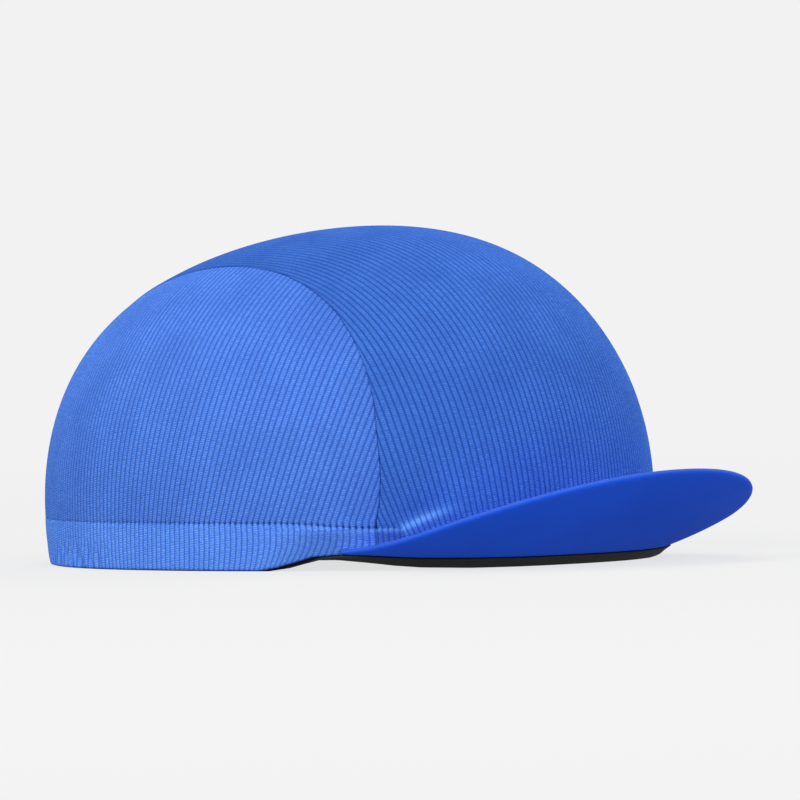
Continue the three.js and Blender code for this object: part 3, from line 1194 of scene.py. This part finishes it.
def makePeak():
    share = np.linspace(-1, 1, peak["columns"] + 1)[:, None] * peak["endShare"]
    turn = np.radians(peak["endAngle"]) * share
    depth = peak["depth"] * (1 - np.abs(share) ** peak["inner"]) ** peak["outer"]
    rootReach = peak["rootReach"] + peak["rootBulge"] * (1 - np.abs(share) ** peak["rootPower"])
    slope = peak["slopeMiddle"] + (peak["slopeEnd"] - peak["slopeMiddle"]) * share**2
    offsets = np.array(peak["edgeRows"])[None, :] * np.minimum(depth / peak["fullDepth"], 1)
    edgeOut = 1 - offsets / np.maximum(depth, smallStep)
    plain = np.arange(peak["rows"])[None, :] / peak["rows"] * edgeOut[:, :1]
    out = np.concatenate([plain, edgeOut], axis=1)
    tilt = np.radians(slope + peak["slopeCurl"] * out)
    rootShares = np.arange(peak["rootRows"])[None, :] / peak["rootRows"]
    rootLean = tilt[:, :1] / 2 * rootShares
    rootReachRow = peak["rootReach"] + (rootReach - peak["rootReach"]) * rootShares
    reach = np.concatenate([rootReachRow, rootReach + depth * out * np.cos(tilt)], axis=1)
    rise = np.concatenate([0 * rootReachRow, depth * out * np.sin(tilt)], axis=1)
    lean = np.concatenate([rootLean, tilt], axis=1)
    toEdge = np.concatenate([0 * rootReachRow + depth, depth * (1 - out)], axis=1)
    direction = rimOutwardAt(pointAt(turn, 0 * turn))
    height = stripTop(np.degrees(np.abs(turn))) + peak["rootLift"]
    middle = pointAt(turn, height) + direction * reach[..., None]
    middle[..., 2] = height + rise
    square = -direction * np.sin(lean)[..., None]
    square[..., 2] = np.cos(lean)
    edgeShare = 1 - np.clip(toEdge / peak["edgeReach"], 0, 1)
    full = np.sqrt(np.maximum(1 - edgeShare**2, 0))
    half = (peak["edgeThickness"] + (peak["thickness"] - peak["edgeThickness"]) * full) / 2
    centre = middle + square * (peak["thickness"] / 2)
    upper = centre + square * half[..., None]
    lower = centre - square * half[..., None]
    along = alongRows(middle)
    across = np.radians(peak["endAngle"]) * share * (head["halfLength"] + reach)
    piece = layCloth("peak_cloth", [upper, lower], across, along, edgeShare)
    wear(piece, "peak", peakMaterial)


makePeak()

# Sweatband: a black ring inside the rim, whose foot shows as a strip under the peak
sweatband = {
    "reach": -1.9,
    "thickness": 1.2,
    "footReach": 0.7,
    "top": 25.0,
    "columns": 360,
    "wallHeights": [3.0, 7.0, 12.0, 18.2, 23.5],
    "round": 0.35,
    "roundShare": 0.4,
    "lipShare": 0.3,
    "shelfClear": 0.3,
    "mergeReach": 0.00001,
}


# The band's section as its reach and height at each turn: out along the foot, up the strip's
# face and back over its top, then up the wall's outer face and down its inner one
def bandSection(turn):
    angles = foldedAngle(turn)
    lift, shelf = rimLift(angles), stripTop(angles)
    reach = readTable(rimTable, "reach", angles)
    foot = np.minimum(reach, sweatband["footReach"])
    wall, top, soft = sweatband["reach"], sweatband["top"], sweatband["round"]
    inner = wall - sweatband["thickness"]
    rows = [
        (inner + soft, lift),
        (foot - soft, lift),
        (foot, lift + soft * sweatband["roundShare"]),
        (foot + (reach - foot) / 2, lift + (shelf - lift) / 2),
        (reach, shelf - np.minimum(soft, (shelf - lift) * sweatband["roundShare"])),
        (reach - soft * sweatband["lipShare"], shelf),
        (reach - soft, shelf),
        (wall, shelf),
    ]
    for height in sweatband["wallHeights"]:
        rows.append((wall, np.maximum(height, shelf + sweatband["shelfClear"])))
    rows += [(wall - soft, top), (inner + soft, top)]
    for height in reversed(sweatband["wallHeights"]):
        rows.append((inner, height))
    rows.append((inner, lift + soft))
    return [(out + 0 * turn, height + 0 * turn) for out, height in rows]


def makeSweatband():
    columns = sweatband["columns"]
    turn = np.linspace(0, math.tau, columns + 1)
    section = bandSection(turn)
    section.append(section[0])
    rows = len(section) - 1
    lines = []
    for out, height in section:
        base = pointAt(turn, height)
        lines.append(base + rimOutwardAt(base) * out[:, None])
    points = np.stack(lines, axis=1)
    ring = bmesh.new()
    bmesh.ops.create_grid(ring, x_segments=columns, y_segments=rows, size=0.5)
    mesh = bpy.data.meshes.new("sweatband_tape")
    ring.to_mesh(mesh)
    ring.free()
    column, row, level = gridPlaces(mesh, columns, rows)
    around = (turn * head["halfLength"])[column]
    shapeMesh(mesh, points[column, row], around, alongRows(points)[column, row])
    ring = bmesh.new()
    ring.from_mesh(mesh)
    bmesh.ops.remove_doubles(ring, verts=ring.verts[:], dist=sweatband["mergeReach"])
    ring.to_mesh(mesh)
    ring.free()
    wear(addPiece("sweatband_tape", mesh), "sweatband", bandMaterial)


makeSweatband()

# Floor and backdrop: a wide shallow bowl, all one pale tone
studio = {
    "floorRadius": 3.2,
    "wallRadius": 4.6,
    "wallHeight": 4.0,
    "bendSteps": 10,
    "spinSteps": 64,
    "pale": 0.888,
    "tone": 0.12,
    "lampShare": 0.163,
    "glow": 0.31,
    "toneRadius": 0.35,
    "plainRadius": 1.3,
    "mergeReach": 0.0001,
}


def makeFloor():
    bowl = bmesh.new()
    bend = studio["wallRadius"] - studio["floorRadius"]
    profile = [bowl.verts.new((0, 0, 0)), bowl.verts.new((studio["floorRadius"], 0, 0))]
    for step in range(1, studio["bendSteps"] + 1):
        turn = math.pi / 2 * step / studio["bendSteps"]
        x = studio["floorRadius"] + bend * math.sin(turn)
        profile.append(bowl.verts.new((x, 0, bend * (1 - math.cos(turn)))))
    profile.append(bowl.verts.new((studio["wallRadius"], 0, studio["wallHeight"])))
    edges = [bowl.edges.new(pair) for pair in zip(profile, profile[1:])]
    bmesh.ops.spin(
        bowl,
        geom=profile + edges,
        cent=(0, 0, 0),
        axis=(0, 0, 1),
        angle=math.tau,
        steps=studio["spinSteps"],
        use_merge=True,
    )
    bmesh.ops.remove_doubles(bowl, verts=bowl.verts[:], dist=studio["mergeReach"])
    bmesh.ops.recalc_face_normals(bowl, faces=bowl.faces[:])
    mesh = bpy.data.meshes.new("studio_floor")
    bowl.to_mesh(mesh)
    bowl.free()
    mesh.shade_smooth()
    floor = bpy.data.objects.new("studio_floor", mesh)
    bpy.context.scene.collection.objects.link(floor)
    mesh.materials.append(makePaleFloor())


# Near the cap the floor takes the lamps' light, and so the cap's soft shadow; further out it
# glows evenly, so that no edge shows between the floor and the backdrop
def makePaleFloor():
    material, bench, shader = newMaterial("paleFloor")
    length = bench.add("ShaderNodeVectorMath", operation="LENGTH")
    bench.link(bench.objectPlace(), length.inputs[0])
    reach = (length.outputs["Value"], studio["toneRadius"], studio["plainRadius"])
    shown = bench.ramp(*reach, studio["pale"] - studio["lampShare"], studio["pale"])
    sight = bench.add("ShaderNodeLightPath").outputs["Is Camera Ray"]
    seen = bench.math("MULTIPLY", shown, sight)
    unseen = bench.math("MULTIPLY", bench.math("SUBTRACT", 1.0, sight), studio["glow"])
    surface = {
        "Base Color": bench.ramp(*reach, studio["tone"], 0.0),
        "Roughness": 1.0,
        "Specular IOR Level": 0.0,
        "Emission Color": bench.math("ADD", seen, unseen),
        "Emission Strength": 1.0,
    }
    bench.feed(shader, surface)
    return material


makeFloor()
print("made the floor")

# Camera at the photograph's angle
view = {
    "aim": (0.0, headSetback * metresPerMm, 0.052),
    "distance": 2.5,
    "azimuth": -40.75,
    "elevation": 0.956,
    "roll": -1.368,
    "pixelsPerMm": 3.355,
    "imageWidth": 800,
    "middleX": 347.79,
    "middleY": 384.56,
    "sensor": 36.0,
    "farthest": 50.0,
}


def makeCamera():
    azimuth, elevation, roll = (math.radians(view[key]) for key in ("azimuth", "elevation", "roll"))
    level = math.cos(elevation)
    back = Vector((math.sin(azimuth) * level, -math.cos(azimuth) * level, math.sin(elevation)))
    right = (-back).cross(Vector((0, 0, 1))).normalized()
    up = right.cross(-back)
    rolledRight = right * math.cos(roll) + up * math.sin(roll)
    rolledUp = up * math.cos(roll) - right * math.sin(roll)
    data = bpy.data.cameras.new("camera")
    data.sensor_width = view["sensor"]
    pixelsPerMetre = view["pixelsPerMm"] / metresPerMm
    data.lens = pixelsPerMetre * view["distance"] / view["imageWidth"] * view["sensor"]
    data.shift_x = 0.5 - view["middleX"] / view["imageWidth"]
    data.shift_y = view["middleY"] / view["imageWidth"] - 0.5
    data.clip_end = view["farthest"]
    camera = bpy.data.objects.new("camera", data)
    bpy.context.scene.collection.objects.link(camera)
    turned = Matrix((rolledRight, rolledUp, back)).transposed().to_4x4()
    turned.translation = Vector(view["aim"]) + back * view["distance"]
    camera.matrix_world = turned
    bpy.context.scene.camera = camera
    return back, right


back, right = makeCamera()

# Soft studio light: each lamp by its direction seen from the camera
lamps = tableOf(
    "name right up back size power",
    ("front", 0.4, 0.6, 1.6, 1.6, 16.5),
    ("key", -1.2, 1.0, 1.2, 1.0, 20),
    ("top", -0.2, 2.0, 0.1, 1.6, 16),
    ("backTop", 0.3, 1.6, -1.3, 1.4, 13),
    ("right", 1.9, 0.6, 0.6, 1.4, 6.5),
    ("rim", 1.6, 0.8, -1.0, 1.0, 16),
)
worldTone = 0.05


def makeLights():
    aim = Vector(view["aim"])
    for lamp in lamps:
        data = bpy.data.lights.new(lamp["name"], "AREA")
        data.shape = "DISK"
        data.size = lamp["size"]
        data.energy = lamp["power"]
        light = bpy.data.objects.new(lamp["name"], data)
        offset = right * lamp["right"] + Vector((0, 0, lamp["up"])) + back * lamp["back"]
        facing = offset.to_track_quat("Z", "Y").to_matrix().to_4x4()
        light.matrix_world = Matrix.Translation(aim + offset) @ facing
        bpy.context.scene.collection.objects.link(light)
    world = bpy.data.worlds.new("studio")
    world.use_nodes = True
    sky = world.node_tree.nodes["Background"]
    sky.inputs["Color"].default_value = (worldTone, worldTone, worldTone, 1)
    bpy.context.scene.world = world
    bpy.context.scene.view_settings.view_transform = "Standard"


makeLights()
print("made the lights and the camera")
